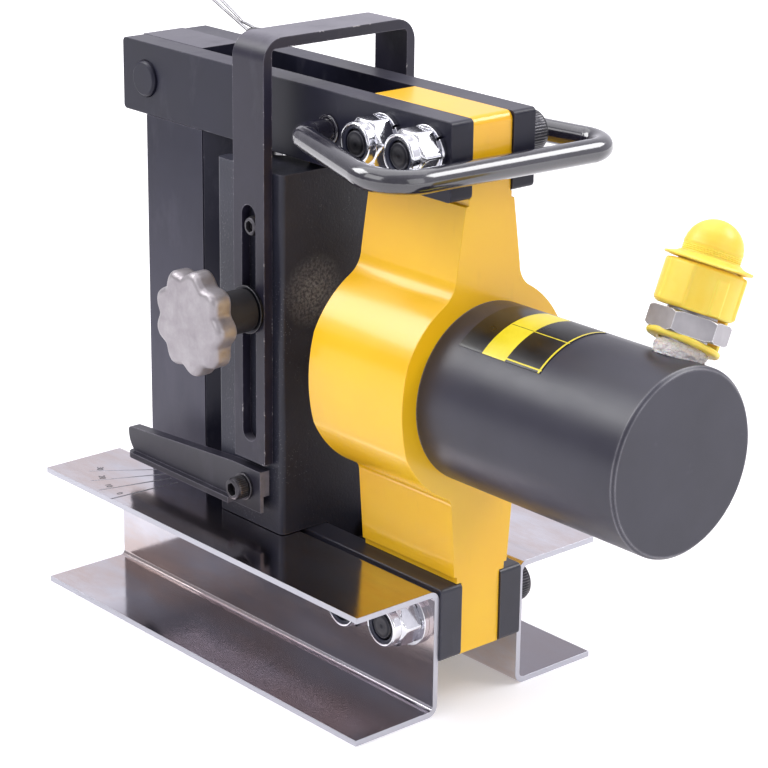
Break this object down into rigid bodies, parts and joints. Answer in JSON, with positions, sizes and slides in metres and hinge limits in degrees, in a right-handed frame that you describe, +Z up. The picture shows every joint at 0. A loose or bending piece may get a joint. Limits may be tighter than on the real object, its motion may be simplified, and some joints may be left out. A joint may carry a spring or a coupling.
{
  "type": "hydraulic busbar bender",
  "caption": "Bench busbar bender: hydraulic cylinder on a cast body pushes an upright V block between paired side bars onto a fixed nose; channel feet, clamp strap, bail handle.",
  "frame": {"origin": "on the ground, midway along X between the rear end of the feet and the closed end of the barrel, and midway along Y between the knob's face and the far foot; the middle plane of the side bars is at Y = +3.8 mm", "axes": "+X along the cylinder towards its closed end, +Z up, -Y is the side with the knob"},
  "size_m": [0.3284, 0.143, 0.2778],
  "materials": {
    "black_paint": "semi-gloss black paint, worn bright at the arrises",
    "black_coat": "satin black coating",
    "black_oxide": "black oxide",
    "grey_steel": "plain steel",
    "bright_zinc": "mirror-bright zinc plate",
    "zinc_nuts": "bright zinc plate",
    "yellow_paint": "yellow gloss paint over a casting",
    "ground_steel": "ground and chromed",
    "bronze": "turned",
    "seal_rubber": "moulded",
    "knob_silver": "silver-grey, fine cast",
    "black_plastic": "moulded",
    "white_tape": "wound thread tape",
    "yellow_plastic": "moulded",
    "label_film": "plain dark film with a yellow band"
  },
  "bodies": {
    "frame": {"bar_top_near": "black_paint", "bar_top_far": "black_paint", "bar_low_near": "black_paint", "bar_low_far": "black_paint", "post": "black_paint", "barrel": "black_paint", "bail_collars": "black_coat", "nose": "black_coat", "cross_pin_low": "black_oxide", "bolts_top": "black_oxide", "bolts_low": "black_oxide", "return_spring": "grey_steel", "foot_near": "bright_zinc", "foot_far": "bright_zinc", "nuts_top": "zinc_nuts", "washers_top": "zinc_nuts", "nuts_low": "zinc_nuts", "washers_low": "zinc_nuts", "coupler_nut": "zinc_nuts", "coupler_stem": "zinc_nuts", "casting": "yellow_paint", "guide_bush": "bronze", "rod_seal": "seal_rubber", "thread_tape": "white_tape", "leash": "yellow_plastic", "label_plate": "label_film"},
    "ram": {"ram": "ground_steel", "piston_seal": "seal_rubber", "vee_block": "black_paint", "guide_screws": "grey_steel", "knob_stud": "grey_steel", "pointer_screw": "grey_steel", "pointer_washer": "grey_steel"},
    "strap": {"strap": "black_coat"},
    "knob": {"knob_star": "knob_silver", "knob_hub": "black_plastic", "knob_washer": "black_oxide"},
    "pointer": {"pointer": "black_coat"},
    "bail": {"bail": "black_coat"},
    "top_pin": {"cross_pin_top": "black_oxide"},
    "nose_pin": {"nose_pin": "black_oxide"},
    "clip": {"nose_pin_clip": "zinc_nuts"},
    "cap": {"dust_cap": "yellow_plastic"}
  },
  "joints": [
    {"name": "ram_slide", "type": "slide", "parent": "frame", "child": "ram", "axis": [-1, 0, 0], "range_m": [0, 0.031], "stiffness_N_per_m": 3000, "springref_m": -0.03},
    {"name": "strap_height", "type": "slide", "parent": "ram", "child": "strap", "axis": [0, 0, 1], "range_m": [-0.002, 0.044]},
    {"name": "knob_turn", "type": "hinge", "parent": "ram", "child": "knob", "pos_m": [-0.04627, -0.0622, 0.157], "axis": [0, -1, 0], "range_deg": [0, 360]},
    {"name": "pointer_tilt", "type": "hinge", "parent": "ram", "child": "pointer", "pos_m": [-0.04947, -0.0355, 0.076], "axis": [0, 1, 0], "range_deg": [-3, 18]},
    {"name": "bail_swing", "type": "hinge", "parent": "frame", "child": "bail", "pos_m": [-0.0165, 0.0038, 0.2372], "axis": [0, -1, 0], "range_deg": [0, 100]},
    {"name": "top_pin_pull", "type": "slide", "parent": "frame", "child": "top_pin", "axis": [0, -1, 0], "range_m": [0, 0.06]},
    {"name": "nose_pin_lift", "type": "slide", "parent": "frame", "child": "nose_pin", "axis": [0, 0, 1], "range_m": [0, 0.06]},
    {"name": "clip_pull", "type": "slide", "parent": "nose_pin", "child": "clip", "axis": [-0.9272, 0, 0.3746], "range_m": [0, 0.03]},
    {"name": "cap_turn", "type": "hinge", "parent": "frame", "child": "cap", "pos_m": [0.1458, 0.02724, 0.19393], "axis": [0, 0.3907, 0.9205], "continuous": true}
  ]
}
